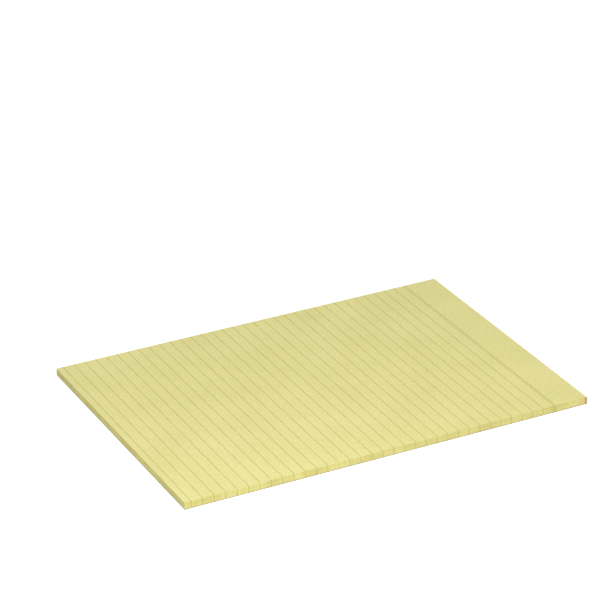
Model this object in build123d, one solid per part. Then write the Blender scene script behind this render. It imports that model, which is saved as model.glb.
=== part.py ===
from build123d import *
import os

# A ruled writing pad, gummed along its head, that lies on its backing board.
# Lengths are in millimetres. +Z is up, +Y points to the head and +X to the reader's right.
# The origin is the centre of the underside.

# The leaves, one block that the gum holds along its head
page_width = 210.0
page_length = 297.0
leaf_count = 50
leaf_thickness = 0.096

# The board under the leaves, cut to the page's size
board_thickness = 0.5

# The film of gum over the cut head edge of the leaves and the board
gum_thickness = 0.4

# The ruling. Distances run from the head down the page, to the middle of each line.
head_to_header = 25.0
header_to_first_rule = 9.0
rule_spacing = 8.07
least_foot_margin = 4.0
rule_width = 0.4

# The header is a pair of lines, one each side of its middle
header_pair_spacing = 1.4
header_line_width = 0.4

# How far the ink stands proud of the paper
ink_thickness = 0.04

# Levels and edges worked out from the sizes above
stack_height = leaf_count * leaf_thickness
stack_bottom = board_thickness
pad_top = stack_bottom + stack_height
foot_y = -(page_length + gum_thickness) / 2
head_y = foot_y + page_length
header_y = head_y - head_to_header
first_rule_y = header_y - header_to_first_rule
ruled_length = first_rule_y - (foot_y + least_foot_margin)
rule_count = int(ruled_length // rule_spacing) + 1


def page_block(bottom, height):
    """A block with the outline of the page, from the level bottom upwards."""
    corner = Pos(-page_width / 2, foot_y, bottom)
    return corner * Box(page_width, page_length, height, align=Align.MIN)


def gum_film():
    """The gum on the head edge, from the underside of the board to the top leaf."""
    corner = Pos(-page_width / 2, head_y, 0)
    return corner * Box(page_width, gum_thickness, pad_top, align=Align.MIN)


def printed_line(y, width):
    """One printed line. Its ink reaches the trimmed sides of every leaf, so it shows as
    a stripe across the top leaf and as a mark down both long sides of the stack."""
    standing = (Align.CENTER, Align.CENTER, Align.MIN)
    place = Pos(0, y, stack_bottom)
    over_ink = Box(page_width + 2 * ink_thickness, width, stack_height + ink_thickness, align=standing)
    over_paper = Box(page_width, width, stack_height, align=standing)
    return place * (over_ink - over_paper)


def ruled_lines():
    """The rules for writing, from under the header down to the foot."""
    return [printed_line(first_rule_y - i * rule_spacing, rule_width) for i in range(rule_count)]


def header_rule():
    """The two lines that part the head margin from the ruled page."""
    half = header_pair_spacing / 2
    return [printed_line(header_y + offset, header_line_width) for offset in (half, -half)]


pieces = {
    "sheets": page_block(stack_bottom, stack_height),
    "backing_board": page_block(0, board_thickness),
    "gum_edge": gum_film(),
    "ruled_lines": Compound(children=ruled_lines()),
    "header_rule": Compound(children=header_rule()),
}

os.makedirs("parts", exist_ok=True)
for name, piece in pieces.items():
    export_step(piece, f"parts/{name}.step")
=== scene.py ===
import math
import bpy
import numpy as np
from mathutils import Matrix, Vector


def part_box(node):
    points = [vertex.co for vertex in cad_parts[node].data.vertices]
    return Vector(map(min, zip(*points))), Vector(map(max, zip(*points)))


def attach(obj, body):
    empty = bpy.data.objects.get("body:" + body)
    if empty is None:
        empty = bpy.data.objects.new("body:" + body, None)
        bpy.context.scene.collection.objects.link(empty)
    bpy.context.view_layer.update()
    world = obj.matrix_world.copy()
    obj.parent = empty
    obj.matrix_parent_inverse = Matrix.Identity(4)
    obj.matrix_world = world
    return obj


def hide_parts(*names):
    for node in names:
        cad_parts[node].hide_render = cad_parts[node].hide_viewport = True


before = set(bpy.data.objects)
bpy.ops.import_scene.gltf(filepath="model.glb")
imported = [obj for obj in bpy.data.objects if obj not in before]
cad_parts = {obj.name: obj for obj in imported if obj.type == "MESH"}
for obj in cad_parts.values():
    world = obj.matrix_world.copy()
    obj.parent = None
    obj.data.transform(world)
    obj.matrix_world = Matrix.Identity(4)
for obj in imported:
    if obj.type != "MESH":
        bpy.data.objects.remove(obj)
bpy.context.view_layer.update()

mm = 0.001

# What the frame gives: the page and its levels
sheets_low, sheets_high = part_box("sheets")
board_low, board_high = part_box("backing_board")
gum_low, gum_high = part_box("gum_edge")
page_left, page_foot, stack_bottom = sheets_low
page_right, page_head, stack_top = sheets_high
stack_height = stack_top - stack_bottom
page_width = page_right - page_left
page_length = page_head - page_foot

# The leaves. Each level of the pad is a grid of this many cells across and along the page.
leaf_count = 50
leaf_thickness = stack_height / leaf_count
cells_across, cells_along = 30, 42
share_across = np.linspace(0, 1, cells_across + 1)
share_along = np.linspace(0, 1, cells_along + 1)

# How evenly the leaves were trimmed and how they have shifted since
trim_inset = 0.07 * mm
trim_wave = 0.02 * mm
trim_turns_along, trim_turns_across = 9, 7
bundle_offset = 0.05 * mm
leaf_jitter = 0.012 * mm
foot_fan = 0.035 * mm
least_inset = 0.01 * mm
bundle_leaves = (3, 11)
groove_depth = 0.025 * mm
groove_lip = 0.012 * mm

# How far the stack has settled between its high places
sag_depth = 0.16 * mm

# The angles, in degrees, past which an edge between two smooth faces stays sharp
paper_crease, gum_crease = 30, 50

# The board's cut edge: pairs of a share of its thickness and how far the edge lies in there
board_profile = (
    (0.0, 0.07 * mm),
    (0.12, 0.02 * mm),
    (0.4, 0.0),
    (0.7, 0.01 * mm),
    (0.92, 0.0),
    (1.0, 0.03 * mm),
)
board_inset = 0.03 * mm
board_wave = 0.025 * mm

# The gum, brushed along the head edge and a little way round the corners. On the head it is gum_fill times
# as thick as the frame's film on average, and at its top and bottom gum_rim times as thick as between them.
gum_step = 1.5 * mm
gum_rows = 40
gum_wrap = 6.6 * mm
gum_wrap_steps = 44
gum_fill = 0.62
gum_rim = 0.45
gum_round = 0.3 * mm
gum_on_sides = 0.1 * mm
gum_behind = 0.35 * mm
gum_lip = 0.02 * mm

# The gum's lumps on the head, coarse and fine: how often they turn up the edge and along it, and how high
# they are as a share of the frame's film
gum_lumps = ((7, 50, 0.1), (18, 110, 0.04))

# The gum's specks on the long sides: how often they turn up the edge and along it. Specks aside, the gum
# at the corner is gum_at_corner times gum_on_sides thick, and gum_run_out is how far that factor falls by
# the end of its wrap.
gum_speck_turns = (16, 15)
gum_at_corner = 1.1
gum_run_out = 2.0

# The gum is darker and browner towards the pad's corners: by this share up to the first distance from them,
# in millimetres, and not at all past the second
gum_corner_darkening = 0.8
darkest_up_to, plain_past = 0.7, 2.2

# The printed ink. Its edges waver ink_turns times across the page.
ink_proud = 0.014 * mm
ink_sunk = 0.03 * mm
ink_width_noise = 0.03 * mm
ink_turns = 28
mark_height_share = 0.87
register_noise = 0.05 * mm

# The UV maps for the export. A block's map is shared out between its sides, top and underside, a printed
# piece's between the marks on the leaf edges and the stripes, and a tube's between its length and its ends.
stack_shares = (0.9, 0.05, 0.05)
top_leaf_shares = (0.06, 0.7, 0.24)
board_shares = (0.06, 0.24, 0.7)
marks_share = 0.6
tube_share = 0.98

# The stage. The floor and the sky look white, and their light on the pad is less than that.
floor_half = 6.0
floor_level = -0.05 * mm
floor_lit = 0.8
floor_glow = 0.3
floor_clear_within = 1 * mm
sky_lit = 0.55

# The lamps: a broad sun from behind the camera, and a panel beside it. All angles are in degrees.
key_azimuth, key_elevation = 60, 50
key_strength = 0.76
key_spread = 30
fill_azimuth, fill_elevation = 70, 40
fill_strength = 2.33
fill_distance = 0.72
fill_side = 0.4

# The camera: where the photograph was taken from, and where it shows the middle of the top face
photo_side = 600
sensor_width = 36.0
focal_pixels = 2936
view_azimuth = 63.66
view_elevation = 25.98
view_roll = -1.06
camera_depth = 1.993
top_middle_pixel = (318.2, 382.5)
clip_near, clip_far = 0.05, 50

random = np.random.RandomState(7)


# Noise for shapes

def smooth_places(count, knots):
    """For each of count even places, the knot before it and the eased share of the way to the next."""
    place = np.linspace(0, knots, count)
    index = place.astype(int)
    part = place - index
    return index, part * part * (3 - 2 * part)


def smooth_noise(count, knots, size):
    """count values of a smooth random curve between -size and size that turns about knots times."""
    index, part = smooth_places(count, knots)
    heights = random.uniform(-size, size, knots + 2)
    return heights[index] * (1 - part) + heights[index + 1] * part


def noise_sheet(rows, columns, row_knots, column_knots, size):
    """rows by columns values of a smooth random surface, in the same way."""
    index, part = smooth_places(rows, row_knots)
    curves = np.array([smooth_noise(columns, column_knots, size) for _ in range(row_knots + 2)])
    return curves[index] * (1 - part)[:, None] + curves[index + 1] * part[:, None]


# Shape of the stack

def sag(x, y):
    """How far the top of the stack lies below its nominal level, up to sag_depth, in three slow waves."""
    across, along = x / mm, y / mm
    slanting, lengthwise = 0.6, 0.5
    waves = (
        np.sin(across / 31 + 0.4) * np.cos(along / 47 - 0.7)
        + slanting * np.cos(across / 19 - along / 38 + 1.9)
        + lengthwise * np.sin(along / 23 + 0.8)
    )
    most = 1 + slanting + lengthwise
    return sag_depth * (0.5 + waves / most / 2)


def settled(x, y, z):
    """The height of a point of the stack, given its nominal height. The board under the stack is flat."""
    return z - sag(x, y) * np.clip((z - stack_bottom) / stack_height, 0, 1)


def page_grid(insets, z, extra=0.0):
    """The points of one level, as rows along the page. insets says how far the right, left, foot and head
    edges lie inside the page's outline, and extra how much further."""
    right, left, foot, head = (inset + extra for inset in insets)
    x_low, x_high = (page_left + left)[:, None], (page_right - right)[:, None]
    y_low, y_high = (page_foot + foot)[None, :], (page_head - head)[None, :]
    x = x_low + (x_high - x_low) * share_across[None, :]
    y = y_low + (y_high - y_low) * share_along[:, None]
    return np.stack([x, y, settled(x, y, z)], axis=2)


def leaf_insets():
    """For each leaf, how far its four edges lie inside the outline. Leaves were trimmed in bundles, and have
    turned a little about the gummed head since."""
    leaves = []
    left_in_bundle = 0
    along_page, across_page = (cells_along + 1, trim_turns_along), (cells_across + 1, trim_turns_across)
    edge_waves = (along_page, along_page, across_page, across_page)
    for _ in range(leaf_count):
        if left_in_bundle == 0:
            left_in_bundle = random.randint(*bundle_leaves)
            bundle = [
                trim_inset
                + random.uniform(-bundle_offset, bundle_offset)
                + smooth_noise(count, knots, trim_wave)
                for count, knots in edge_waves
            ]
        left_in_bundle -= 1
        slip = random.uniform(-foot_fan, foot_fan) * (1 - share_along)
        foot_slip = random.uniform(-foot_fan, foot_fan)
        jitter = random.normal(0, leaf_jitter, 4)
        edges = (
            bundle[0] + slip + jitter[0],
            bundle[1] - slip + jitter[1],
            bundle[2] + foot_slip + jitter[2],
            bundle[3] + jitter[3] / 2,
        )
        leaves.append([np.maximum(edge, least_inset) for edge in edges])
    return leaves


def leaf_levels(leaves, first, last):
    """The levels of leaves first to last: each leaf's edge stands between two grooves."""
    levels = []
    for n in range(first, last + 1):
        bottom = stack_bottom + n * leaf_thickness
        below = leaves[max(n - 1, first)]
        seam = [np.maximum(a, b) for a, b in zip(leaves[n], below)]
        levels.append(page_grid(seam, bottom, groove_depth))
        levels.append(page_grid(leaves[n], bottom + groove_lip))
        levels.append(page_grid(leaves[n], bottom + leaf_thickness - groove_lip))
    levels.append(page_grid(leaves[last], stack_bottom + (last + 1) * leaf_thickness, groove_depth / 2))
    return levels


# Meshes

def mesh_object(name, points, faces, maps=None, slots=None):
    """A mesh in the scene, flat shaded, with a UV map for the export's bake where maps gives one."""
    mesh = bpy.data.meshes.new(name)
    mesh.from_pydata([tuple(map(float, p)) for p in points], [], [tuple(f) for f in faces])
    if maps:
        layer = mesh.uv_layers.new(name="OFBake")
        layer.data.foreach_set("uv", [value for face in maps for pair in face for value in pair])
    if slots:
        mesh.polygons.foreach_set("material_index", slots)
    mesh.update()
    piece = bpy.data.objects.new(name, mesh)
    bpy.context.scene.collection.objects.link(piece)
    return piece


class Shape:
    """The points and faces of one piece as they are gathered. Each face has a material slot and a cell of
    the UV map, given by two of its corners as u, v, u, v."""

    def __init__(self):
        self.points, self.faces, self.maps, self.slots = [], [], [], []

    def add_points(self, points):
        """Adds points, and returns the number of the first."""
        start = len(self.points)
        self.points += points
        return start

    def add(self, face, cell, slot=0):
        """Adds a four-cornered face."""
        u0, v0, u1, v1 = cell
        self.faces.append(face)
        self.maps.append([(u0, v0), (u1, v0), (u1, v1), (u0, v1)])
        self.slots.append(slot)

    def mesh(self, name):
        return mesh_object(name, self.points, self.faces, self.maps, self.slots)


def part_of(cell, u0, v0, u1, v1):
    """The part of a cell of the UV map between two corners, given as shares of the cell."""
    left, low, right, high = cell
    width, height = right - left, high - low
    return left + u0 * width, low + v0 * height, left + u1 * width, low + v1 * height


def square_cells(count, cell):
    """Shares out a cell of the UV map between count faces, row by row."""
    rows = math.ceil(math.sqrt(count))
    for n in range(count):
        row, column = divmod(n, rows)
        yield part_of(cell, column / rows, row / rows, (column + 1) / rows, (row + 1) / rows)


def rim_steps():
    """The grid places round a level: up its right side, along the head, down the left side and back along
    the foot. Each comes with its side's number, and with the shares of that side where its face starts and
    ends."""
    right = [(n, cells_across) for n in range(cells_along)]
    head = [(cells_along, cells_across - n) for n in range(cells_across)]
    left = [(cells_along - n, 0) for n in range(cells_along)]
    foot = [(0, n) for n in range(cells_across)]
    steps = []
    for side, places in enumerate((right, head, left, foot)):
        steps += [(place, side, n / len(places), (n + 1) / len(places)) for n, place in enumerate(places)]
    return steps


def add_sides(shape, levels, cell):
    """Adds the four sides through the levels with the second material. Each gets a quarter of the cell."""
    steps = rim_steps()
    around, rows = len(steps), len(levels) - 1
    start = shape.add_points([level[place] for level in levels for place, *_ in steps])
    for row in range(rows):
        for k, (_, side, u0, u1) in enumerate(steps):
            a, b = (start + row * around + n % around for n in (k, k + 1))
            v0, v1 = ((side + n / rows) / 4 for n in (row, row + 1))
            shape.add((a, b, b + around, a + around), part_of(cell, u0, v0, u1, v1), slot=1)


def add_cover(shape, level, rim, up, cell):
    """Adds the top or the underside of a block with the first material. Round its rim it shares the points
    of the sides, the first of which has the number rim."""
    places = {place: rim + k for k, (place, *_) in enumerate(rim_steps())}
    for j in range(1, cells_along):
        for i in range(1, cells_across):
            places[j, i] = shape.add_points([level[j, i]])
    for j in range(cells_along):
        near, far = (j + 1, j) if up else (j, j + 1)
        u0, u1 = (1 - n / cells_along if up else n / cells_along for n in (near, far))
        for i in range(cells_across):
            corners = ((near, i), (far, i), (far, i + 1), (near, i + 1))
            part = part_of(cell, u0, i / cells_across, u1, (i + 1) / cells_across)
            shape.add([places[corner] for corner in corners], part)


def block(name, levels, shares):
    """A closed mesh through levels from the bottom up. shares says how much of its UV map the sides, the top
    and the underside get."""
    sides, top, _ = shares
    shape = Shape()
    add_sides(shape, levels, (0, 0, 1, sides))
    last_rim = (len(levels) - 1) * len(rim_steps())
    add_cover(shape, levels[-1], last_rim, True, (0, sides, 1, sides + top))
    add_cover(shape, levels[0], 0, False, (0, sides + top, 1, 1))
    return shape.mesh(name)


def add_tube(shape, rings, cell):
    """Adds a closed tube through rings of points. Each ring goes along the front of the tube and comes back
    along its back, and strips between the two fill the tube's ends."""
    around, rows = len(rings[0]), len(rings[0]) // 2
    start = shape.add_points([point for ring in rings for point in ring])
    for k in range(len(rings) - 1):
        u0, u1 = (tube_share * n / (len(rings) - 1) for n in (k, k + 1))
        for r in range(around):
            a, b = (start + k * around + n % around for n in (r, r + 1))
            shape.add((a, a + around, b + around, b), part_of(cell, u0, r / around, u1, (r + 1) / around))
    last = start + (len(rings) - 1) * around
    between_ends = (tube_share + 1) / 2
    for row in range(rows - 1):
        strip = (row, row + 1, around - 2 - row, around - 1 - row)
        low, high = row / (rows - 1), (row + 1) / (rows - 1)
        shape.add([start + n for n in strip], part_of(cell, tube_share, low, between_ends, high))
        shape.add([last + n for n in strip[::-1]], part_of(cell, between_ends, low, 1, high))


def add_box(shape, low, high, cell):
    """Adds a box between two corners. Its faces share one cell of the UV map."""
    xs, ys, zs = zip(low, high)
    start = shape.add_points([(x, y, z) for z in zs for y in ys for x in xs])
    for quad in ((0, 2, 3, 1), (4, 5, 7, 6), (0, 1, 5, 4), (2, 6, 7, 3), (0, 4, 6, 2), (1, 3, 7, 5)):
        shape.add([start + corner for corner in quad], cell)


def smooth_faces(piece, slot, sharp_angle):
    """Shades the faces of one material smoothly, and keeps edges sharper than sharp_angle degrees."""
    mesh = piece.data
    mesh.polygons.foreach_set("use_smooth", [face.material_index == slot for face in mesh.polygons])
    mesh.set_sharp_from_angle(angle=math.radians(sharp_angle))


def dress(piece, node, slot, *materials):
    """Gives a piece its materials, hides the CAD node that it takes the place of and puts it on the pad's
    body.
    """
    for material in materials:
        piece.data.materials.append(material)
    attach(piece, "root")
    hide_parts(node)


# Materials

def linear(red, green, blue):
    """The linear colour of an sRGB colour given from 0 to 255."""
    shares = [value / 255 for value in (red, green, blue)]
    return tuple(s / 12.92 if s <= 0.04045 else ((s + 0.055) / 1.055) ** 2.4 for s in shares) + (1.0,)


def grey(value):
    return (value, value, value, 1.0)


white, black = grey(1.0), grey(0.0)


def add_node(tree, kind, inputs, **settings):
    """Adds a node. inputs gives its inputs, by name or number, a value or the socket that feeds them."""
    node = tree.nodes.new(kind)
    for name, value in settings.items():
        setattr(node, name, value)
    for key, value in inputs.items():
        if isinstance(value, bpy.types.NodeSocket):
            tree.links.new(value, node.inputs[key])
        else:
            node.inputs[key].default_value = value
    return node


class Shader:
    """One material: its main shader, and nodes on the piece's own coordinates in millimetres."""

    def __init__(self, name, roughness, specular):
        self.material = bpy.data.materials.new(name)
        self.material.use_nodes = True
        self.tree = self.material.node_tree
        self.main = self.tree.nodes["Principled BSDF"]
        self.main.inputs["Roughness"].default_value = roughness
        self.main.inputs["Specular IOR Level"].default_value = specular
        metres = self.add("ShaderNodeTexCoord", {}).outputs["Object"]
        scaled = self.add("ShaderNodeVectorMath", {0: metres, "Scale": 1 / mm}, operation="SCALE")
        self.place = scaled.outputs[0]

    def add(self, kind, inputs, **settings):
        return add_node(self.tree, kind, inputs, **settings)

    def feed(self, name, value):
        """Feeds an input of the main shader from a socket."""
        self.tree.links.new(value, self.main.inputs[name])

    def stretched(self, x, y, z):
        """The coordinates with each axis scaled."""
        scaled = self.add("ShaderNodeVectorMath", {0: self.place, 1: (x, y, z)}, operation="MULTIPLY")
        return scaled.outputs[0]

    def noise(self, grain, detail=2.0, roughness=0.5, vector=None):
        """Noise whose grains measure about grain millimetres."""
        place = vector or self.place
        inputs = {"Vector": place, "Scale": 1 / grain, "Detail": detail, "Roughness": roughness}
        return self.add("ShaderNodeTexNoise", inputs).outputs["Fac"]

    def from_upright(self, x, y):
        """The distance in millimetres from the nearest of four upright lines, at (x, y) and its mirror
        places."""
        folded = self.add("ShaderNodeVectorMath", {0: self.place}, operation="ABSOLUTE").outputs[0]
        apart = self.add("ShaderNodeVectorMath", {0: folded, 1: (x, y, 0)}, operation="SUBTRACT").outputs[0]
        level = self.add("ShaderNodeVectorMath", {0: apart, 1: (1, 1, 0)}, operation="MULTIPLY").outputs[0]
        return self.add("ShaderNodeVectorMath", {0: level}, operation="LENGTH").outputs["Value"]

    def bands(self, spacing, waver=0.8, waver_scale=0.1):
        """Level bands, spacing millimetres apart, that waver a little. Blender's wave counts 20 radians for
        each unit of length."""
        scale = 2 * math.pi / (20 * spacing)
        inputs = {"Vector": self.place, "Scale": scale, "Distortion": waver, "Detail Scale": waver_scale}
        return self.add("ShaderNodeTexWave", inputs, wave_type="BANDS", bands_direction="Z").outputs["Fac"]

    def spread(self, value, value_low, value_high, low, high):
        """A number that goes evenly from low to high as a value goes from value_low to value_high."""
        limits = {"From Min": value_low, "From Max": value_high, "To Min": low, "To Max": high}
        return self.add("ShaderNodeMapRange", {"Value": value, **limits}).outputs[0]

    def ramp(self, value, *stops):
        """A colour ramp through (place, colour) stops."""
        node = self.add("ShaderNodeValToRGB", {0: value})
        elements = node.color_ramp.elements
        for element, (place, colour) in zip(elements, stops, strict=True):
            element.position = place
            element.color = colour
        return node.outputs["Color"]

    def mix(self, amount, first, second, blend="MIX"):
        """Mixes two colours."""
        inputs = {0: amount, 6: first, 7: second}
        return self.add("ShaderNodeMix", inputs, data_type="RGBA", blend_type=blend).outputs[2]

    def colour(self, value):
        self.feed("Base Color", value)

    def roughness(self, value, low, high):
        """Spreads the roughness between low and high with a value from 0 to 1."""
        self.feed("Roughness", self.spread(value, 0.0, 1.0, low, high))

    def bump(self, value, height, strength):
        """Bump from a value, height millimetres deep."""
        bump = self.add("ShaderNodeBump", {"Height": value, "Distance": height * mm, "Strength": strength})
        self.feed("Normal", bump.outputs["Normal"])


def paper_face():
    """The printed side of a yellow leaf: faint clouds, a mottle of short fibres and a few stray ones."""
    shader = Shader("paper_face", roughness=0.82, specular=0.25)
    clouds = shader.ramp(shader.noise(38, 3.0), (0.3, linear(226, 220, 149)), (0.7, linear(233, 226, 157)))
    mottle = shader.ramp(shader.noise(1.8, 6.0, 0.7), (0.3, linear(240, 239, 231)), (0.62, white))
    toned = shader.mix(1.0, clouds, mottle, "MULTIPLY")
    strands = shader.noise(0.5, 2.0, 0.4, shader.stretched(0.35, 1.0, 1.0))
    fibres = shader.ramp(strands, (0.68, white), (0.78, linear(243, 240, 230)))
    shader.colour(shader.mix(1.0, toned, fibres, "MULTIPLY"))
    shader.bump(shader.noise(0.22, 4.0, 0.6), 0.012, 0.6)
    return shader.material


def paper_edge():
    """The cut edges of the leaves, in a deeper yellow that is painted shade for the light lost between them.
    Each leaf has its own tone, and the knife has left faint upright strokes."""
    shader = Shader("paper_edge", roughness=0.9, specular=0.15)
    layers = shader.noise(0.16, 1.0, 0.5, shader.stretched(0.004, 0.004, 1.0))
    # painted shade: the edge colours are a deeper yellow than the face's, standing in for the light lost
    # between the leaves
    tone = shader.ramp(layers, (0.3, linear(218, 212, 138)), (0.7, linear(232, 227, 158)))
    strokes = shader.noise(0.7, 3.0, 0.6, shader.stretched(1.0, 1.0, 0.06))
    stroke_tone = shader.ramp(strokes, (0.3, linear(243, 241, 232)), (0.65, white))
    toned = shader.mix(1.0, tone, stroke_tone, "MULTIPLY")
    patches = shader.ramp(shader.noise(14, 2.0), (0.35, linear(245, 243, 234)), (0.65, white))
    shader.colour(shader.mix(1.0, toned, patches, "MULTIPLY"))
    shader.bump(strokes, 0.01, 0.5)
    return shader.material


def rule_ink():
    """Olive grey printing ink that lies unevenly on the fibres and runs thin in places along a line."""
    shader = Shader("rule_ink", roughness=0.7, specular=0.3)
    density = shader.noise(0.45, 4.0, 0.7)
    tone = shader.ramp(density, (0.32, linear(159, 150, 79)), (0.68, linear(183, 172, 93)))
    thin = shader.ramp(shader.noise(6.0, 2.0, 0.6), (0.42, black), (0.72, grey(0.45)))
    shader.colour(shader.mix(thin, tone, linear(214, 210, 134)))
    shader.bump(density, 0.006, 0.5)
    return shader.material


def chipboard(name, light, dark):
    """Grey-brown board pressed from waste paper, with pale fibres that lie both ways and dark flecks."""
    shader = Shader(name, roughness=0.88, specular=0.15)
    board = shader.ramp(shader.noise(2.6, 6.0, 0.62), (0.3, dark), (0.7, light))
    for x, y in ((0.4, 1.0), (1.0, 0.4)):
        strands = shader.noise(0.6, 3.0, 0.6, shader.stretched(x, y, 1.0))
        pale = shader.ramp(strands, (0.6, black), (0.72, grey(0.6)))
        board = shader.mix(pale, board, linear(198, 190, 172))
    flecks = shader.ramp(shader.noise(0.5, 3.0, 0.6), (0.64, black), (0.72, grey(0.7)))
    shader.colour(shader.mix(flecks, board, linear(104, 94, 80)))
    shader.bump(shader.noise(0.4, 5.0, 0.65), 0.03, 0.6)
    return shader.material


def padding_gum():
    """Thin rubbery gum in a tan tone, a little lumpy, with soft brown spots, and browner at the corners.
    The leaf edges show through it as fine lines."""
    shader = Shader("padding_gum", roughness=0.5, specular=0.45)
    lumps = shader.noise(1.3, 4.0, 0.55, shader.stretched(0.6, 1.0, 1.0))
    film = shader.ramp(lumps, (0.3, linear(217, 185, 118)), (0.7, linear(233, 204, 135)))
    spots = shader.ramp(shader.noise(0.9, 4.0, 0.7), (0.5, black), (0.72, grey(0.6)))
    spotted = shader.mix(spots, film, linear(176, 138, 88))
    # the gum is made darker and browner towards the corners
    from_corner = shader.from_upright(page_right / mm, page_head / mm)
    corner_share = shader.spread(from_corner, darkest_up_to, plain_past, gum_corner_darkening, 0.0)
    toned = shader.mix(corner_share, spotted, linear(160, 134, 96))
    leaf_lines = shader.ramp(shader.bands(leaf_thickness / mm), (0.0, linear(232, 226, 216)), (0.45, white))
    shader.colour(shader.mix(1.0, toned, leaf_lines, "MULTIPLY"))
    shader.roughness(lumps, 0.34, 0.55)
    shader.bump(lumps, 0.02, 0.6)
    return shader.material


# Leaves and board

def make_leaves(leaves):
    """The leaves under the top one, and the top one by itself."""
    face, edge = paper_face(), paper_edge()
    top = leaf_count - 1
    stack = block("leaf_stack", leaf_levels(leaves, 0, top - 1), stack_shares)
    top_leaf = block("top_leaf", leaf_levels(leaves, top, top), top_leaf_shares)
    for piece in (stack, top_leaf):
        dress(piece, "sheets", "yellow_paper", face, edge)
        smooth_faces(piece, 0, paper_crease)


def make_board():
    """The backing board, with edges that the knife has left a little rough."""
    counts = (cells_along + 1, cells_along + 1, cells_across + 1, cells_across + 1)
    levels = []
    for share, inset in board_profile:
        rough = [board_inset + smooth_noise(count, count // 2, board_wave) for count in counts]
        levels.append(page_grid(rough, board_low.z + share * (board_high.z - board_low.z), inset))
    board = block("chipboard_back", levels, board_shares)
    face = chipboard("chipboard_face", linear(176, 164, 142), linear(150, 138, 118))
    edge = chipboard("chipboard_edge", linear(182, 170, 144), linear(150, 138, 114))
    dress(board, "backing_board", "chipboard", face, edge)


# Gum

def gum_path():
    """Places along the gum, from one end round both corners to the other. Each is the point on the page's
    outline and the outward direction."""
    wraps = np.linspace(gum_wrap, 0, gum_wrap_steps + 1)[:-1]
    steps = int(page_width / gum_step)
    right = [((page_right, page_head - w), (1, 0)) for w in wraps]
    corner_right = [((page_right, page_head), (1, 1))]
    middle = [((page_right - page_width * k / steps, page_head), (0, 1)) for k in range(1, steps)]
    corner_left = [((page_left, page_head), (-1, 1))]
    left = [((page_left, page_head - w), (-1, 0)) for w in wraps[::-1]]
    return right + corner_right + middle + corner_left + left


def gum_on_head(heights, count):
    """How far the gum stands out of the head edge, at each height and at each of count places along it. It
    is lumpy, and rounded at its top and bottom."""
    from_end = np.minimum(heights - heights[0], heights[-1] - heights)
    rounding = gum_rim + (1 - gum_rim) * np.sqrt(np.minimum(1, from_end / gum_round))
    lumps = sum(noise_sheet(gum_rows, count, *lump) for lump in gum_lumps)
    return (gum_high.y - page_head) * (gum_fill + lumps) * rounding[:, None]


def gum_on_side():
    """How far the gum stands out of the page's outline at each row and step of its wrap on a long side,
    where the leaf edges lie trim_inset inside it. Away from the head it breaks up into specks."""
    from_corner = np.linspace(1, 0, gum_wrap_steps + 1)[:-1]
    specks = noise_sheet(gum_rows, gum_wrap_steps, *gum_speck_turns, 1.0)
    thickness = gum_at_corner - gum_run_out * from_corner + specks
    return gum_on_sides * np.clip(thickness, -1, 1) - trim_inset


def gum_back(x, y):
    """The place of the gum's hidden back for a point of its path: drawn in from the head and the long sides,
    and less from the head towards the ends of the path, so that it has no folds."""
    from_head = (page_head - y) / gum_wrap
    return x * (1 - gum_behind / page_right), y - gum_behind * (1 - from_head)


def make_gum():
    """The film of gum, a tube along its path. Its back lies hidden in the leaves."""
    path = gum_path()
    heights = np.linspace(gum_low.z + gum_lip, gum_high.z - gum_lip, gum_rows)
    head = gum_on_head(heights, len(path))
    right, left = gum_on_side(), gum_on_side()[:, ::-1]
    middle = np.full((gum_rows, len(path) - 2 * gum_wrap_steps), gum_on_sides - trim_inset)
    side = np.concatenate([right, middle, left], axis=1)
    rings = []
    for k, ((x, y), (nx, ny)) in enumerate(path):
        levels = [settled(x, y, z) for z in heights]
        front = [(x + nx * side[row, k], y + ny * head[row, k], level) for row, level in enumerate(levels)]
        back = [(*gum_back(x, y), level) for level in levels]
        rings.append(front + back[::-1])
    shape = Shape()
    add_tube(shape, rings, (0, 0, 1, 1))
    gum = shape.mesh("gum_film")
    dress(gum, "gum_edge", "padding_gum", padding_gum())
    smooth_faces(gum, 0, gum_crease)


# Print

def line_spans(node):
    """The lowest and highest y of each printed line in a CAD node, from the foot up."""
    heights = sorted({round(v.co.y, 7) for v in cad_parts[node].data.vertices})
    return list(zip(heights[::2], heights[1::2]))


def side_edges(leaf, y):
    """Where a leaf's left and right edges are at a place along the page."""
    along = (y - page_foot) / page_length
    right, left = (np.interp(along, share_along, leaf[side]) for side in (0, 1))
    return page_left + left, page_right - right


def add_stripe(shape, leaf, low, high, cell):
    """Adds one line of ink across the top leaf, from edge to edge."""
    left, right = side_edges(leaf, (low + high) / 2)
    xs = left + (right - left) * share_across
    lower, upper = (edge + smooth_noise(len(xs), ink_turns, ink_width_noise / 2) for edge in (low, high))
    rings = []
    for x, y0, y1 in zip(xs, lower, upper):
        corners = ((y0, ink_proud), (y1, ink_proud), (y1, -ink_sunk), (y0, -ink_sunk))
        rings.append([(x, y, settled(x, y, stack_top) + offset) for y, offset in corners])
    add_tube(shape, rings, cell)


def add_marks(shape, leaves, shifts, low, high, cells):
    """Adds the marks of one line on both long edges of every leaf, each with the next of cells."""
    for n, leaf in enumerate(leaves):
        top = stack_bottom + (n + 1) * leaf_thickness - groove_lip
        bottom = top - mark_height_share * leaf_thickness
        y0, y1 = low + shifts[n], high + shifts[n]
        left, right = side_edges(leaf, (low + high) / 2)
        for x, outward in ((right, 1), (left, -1)):
            x0, x1 = sorted((x - outward * ink_sunk, x + outward * ink_proud / 2))
            z0, z1 = (settled(x, (y0 + y1) / 2, z) for z in (bottom, top))
            add_box(shape, (x0, y0, z0), (x1, y1, z1), next(cells))


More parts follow.
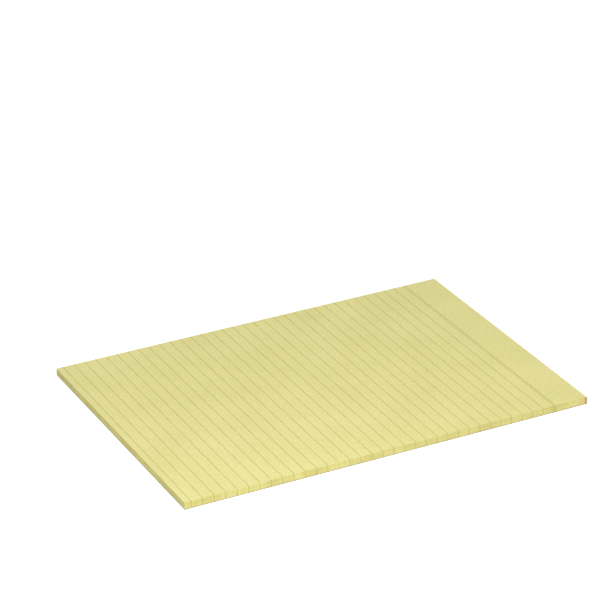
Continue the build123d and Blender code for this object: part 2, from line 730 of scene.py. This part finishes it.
def make_print(name, node, leaves, shifts, ink):
    """The lines of one CAD node: a stripe across the top leaf, and a mark on both long edges of every leaf.
    shifts says how far each leaf's print lies off the top leaf's."""
    shape = Shape()
    lines = line_spans(node)
    mark_cells = square_cells(2 * leaf_count * len(lines), (0, 0, 1, marks_share))
    for n, (low, high) in enumerate(lines):
        stripe_cell = part_of((0, marks_share, 1, 1), 0, n / len(lines), 1, (n + 1) / len(lines))
        add_stripe(shape, leaves[-1], low, high, stripe_cell)
        add_marks(shape, leaves, shifts, low, high, mark_cells)
    dress(shape.mesh(name), node, "rule_ink", ink)


def make_pad():
    """The whole pad, which rests on its board."""
    leaves = leaf_insets()
    make_leaves(leaves)
    make_board()
    make_gum()
    ink = rule_ink()
    shifts = random.normal(0, register_noise, leaf_count)
    shifts[-1] = 0
    make_print("printed_rules", "ruled_lines", leaves, shifts, ink)
    make_print("printed_header", "header_rule", leaves, shifts, ink)


# The stage

def seen_value(tree, lit, seen):
    """A value that is seen where the camera looks, also through glass or in a reflection, and lit for the
    light that falls on the pad."""
    path = add_node(tree, "ShaderNodeLightPath", {}).outputs
    looks = path["Is Camera Ray"]
    for ray in ("Is Glossy Ray", "Is Transmission Ray"):
        looks = add_node(tree, "ShaderNodeMath", {0: looks, 1: path[ray]}, operation="MAXIMUM").outputs[0]
    return add_node(tree, "ShaderNodeMapRange", {"Value": looks, "To Min": lit, "To Max": seen}).outputs[0]


def make_floor():
    """A wide pale floor that looks white and keeps the pad's shadow. It is clear from below, and lets light
    up to the underside that lies on it."""
    signs = ((-1, -1), (1, -1), (1, 1), (-1, 1))
    corners = [(x * floor_half, y * floor_half, floor_level) for x, y in signs]
    floor = mesh_object("floor", corners, [(0, 1, 2, 3)])
    material = bpy.data.materials.new("floor_white")
    material.use_nodes = True
    tree = material.node_tree
    tree.nodes.clear()
    paint = add_node(tree, "ShaderNodeBsdfDiffuse", {"Color": seen_value(tree, floor_lit, 1.0)})
    glow = add_node(tree, "ShaderNodeEmission", {"Strength": seen_value(tree, 0.0, floor_glow)})
    top = add_node(tree, "ShaderNodeAddShader", {0: paint.outputs[0], 1: glow.outputs[0]})
    clear = add_node(tree, "ShaderNodeBsdfTransparent", {})
    below = add_node(tree, "ShaderNodeNewGeometry", {}).outputs["Backfacing"]
    distance = add_node(tree, "ShaderNodeLightPath", {}).outputs["Ray Length"]
    near = add_node(tree, "ShaderNodeMath", {0: distance, 1: floor_clear_within}, operation="LESS_THAN")
    hidden = add_node(tree, "ShaderNodeMath", {0: below, 1: near.outputs[0]}, operation="MAXIMUM")
    choice = {0: hidden.outputs[0], 1: top.outputs[0], 2: clear.outputs[0]}
    shown = add_node(tree, "ShaderNodeMixShader", choice)
    add_node(tree, "ShaderNodeOutputMaterial", {"Surface": shown.outputs[0]})
    floor.data.materials.append(material)


def make_world():
    """Even white light from all round, that looks white itself."""
    world = bpy.data.worlds.new("studio")
    world.use_nodes = True
    bpy.context.scene.world = world
    tree = world.node_tree
    background = tree.nodes["Background"]
    background.inputs["Color"].default_value = white
    tree.links.new(seen_value(tree, sky_lit, 1.0), background.inputs["Strength"])


def direction(azimuth, elevation):
    """The direction from the pad towards a viewer. Azimuth 0 looks along +Y, and 90 along -X."""
    a, e = math.radians(azimuth), math.radians(elevation)
    return Vector((math.sin(a) * math.cos(e), -math.cos(a) * math.cos(e), math.sin(e)))


def make_lamp(kind, azimuth, elevation, strength, distance=0.0):
    """A lamp that shines on the pad from a direction given in the camera's way."""
    light = bpy.data.lights.new(kind.lower(), kind)
    light.energy = strength
    lamp = bpy.data.objects.new(kind.lower(), light)
    bpy.context.scene.collection.objects.link(lamp)
    back = direction(azimuth, elevation)
    lamp.location = back * distance
    lamp.rotation_euler = back.to_track_quat("Z", "Y").to_euler()
    return light


def make_lamps():
    key = make_lamp("SUN", key_azimuth, key_elevation, key_strength)
    key.angle = math.radians(key_spread)
    fill = make_lamp("AREA", fill_azimuth, fill_elevation, fill_strength, fill_distance)
    fill.size = fill_side


def make_camera():
    """The photo's camera, which sees the middle of the pad's top face at top_middle_pixel."""
    data = bpy.data.cameras.new("camera")
    data.sensor_width = sensor_width
    data.lens = focal_pixels / photo_side * sensor_width
    data.clip_start, data.clip_end = clip_near, clip_far
    camera = bpy.data.objects.new("camera", data)
    bpy.context.scene.collection.objects.link(camera)
    back = direction(view_azimuth, view_elevation)
    a, roll = math.radians(view_azimuth), math.radians(view_roll)
    level = Vector((math.cos(a), math.sin(a), 0))
    upright = back.cross(level)
    right = math.cos(roll) * level + math.sin(roll) * upright
    up = back.cross(right)
    u, v = (pixel - photo_side / 2 for pixel in top_middle_pixel)
    top_middle = Vector(((page_left + page_right) / 2, (page_foot + page_head) / 2, stack_top))
    seen = right * (u / focal_pixels) - up * (v / focal_pixels) - back
    camera.location = top_middle - seen * camera_depth
    turned = Matrix((right, up, back)).transposed().to_4x4()
    camera.matrix_world = Matrix.Translation(camera.location) @ turned
    bpy.context.scene.camera = camera


make_pad()
make_floor()
make_world()
make_lamps()
make_camera()
bpy.context.scene.view_settings.view_transform = "Standard"
